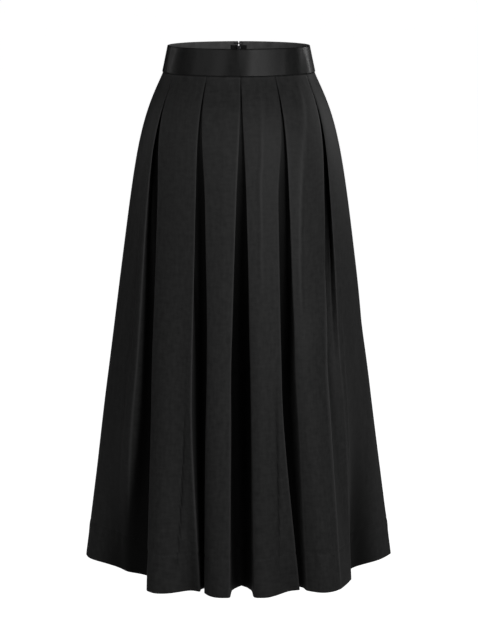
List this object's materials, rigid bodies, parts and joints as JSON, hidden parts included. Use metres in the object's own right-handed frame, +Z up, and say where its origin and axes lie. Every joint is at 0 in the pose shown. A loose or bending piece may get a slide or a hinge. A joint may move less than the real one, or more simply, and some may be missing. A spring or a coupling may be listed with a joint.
{
  "type": "midi skirt",
  "caption": "High-waisted black satin midi skirt, filled out as if worn, with a flat waistband, inverted pleats that open to a full hem, and a centre back zip.",
  "frame": {"origin": "on the skirt's axis at the middle of the waistband's height, where the waist holds it", "axes": "+Z up, -Y the front, +X to the right as seen from the front"},
  "size_m": [0.5448, 0.4357, 0.905],
  "materials": {
    "satin": "black polyester satin with a soft sheen",
    "waistband_satin": "the same satin, drawn smooth over interlining, so shinier",
    "zip_tape": "black woven polyester tape",
    "zip_coil": "black nylon coil",
    "zip_metal": "black enamelled zinc",
    "hook_metal": "black lacquered steel wire"
  },
  "bodies": {
    "skirt": {"waistband": "waistband_satin", "skirt_front": "satin", "skirt_back_left": "satin", "skirt_back_right": "satin", "zip_tape_left": "zip_tape", "zip_tape_right": "zip_tape", "zip_chain": "zip_coil", "zip_slider": "zip_metal", "hook": "hook_metal", "eye": "hook_metal"},
    "pull_tab": {"zip_pull_tab": "zip_metal"}
  },
  "joints": [
    {"name": "pull_tab_swing", "type": "hinge", "parent": "skirt", "child": "pull_tab", "pos_m": [0, 0.09728, 0.0115], "axis": [1, 0, 0], "range_deg": [0, 170]}
  ]
}
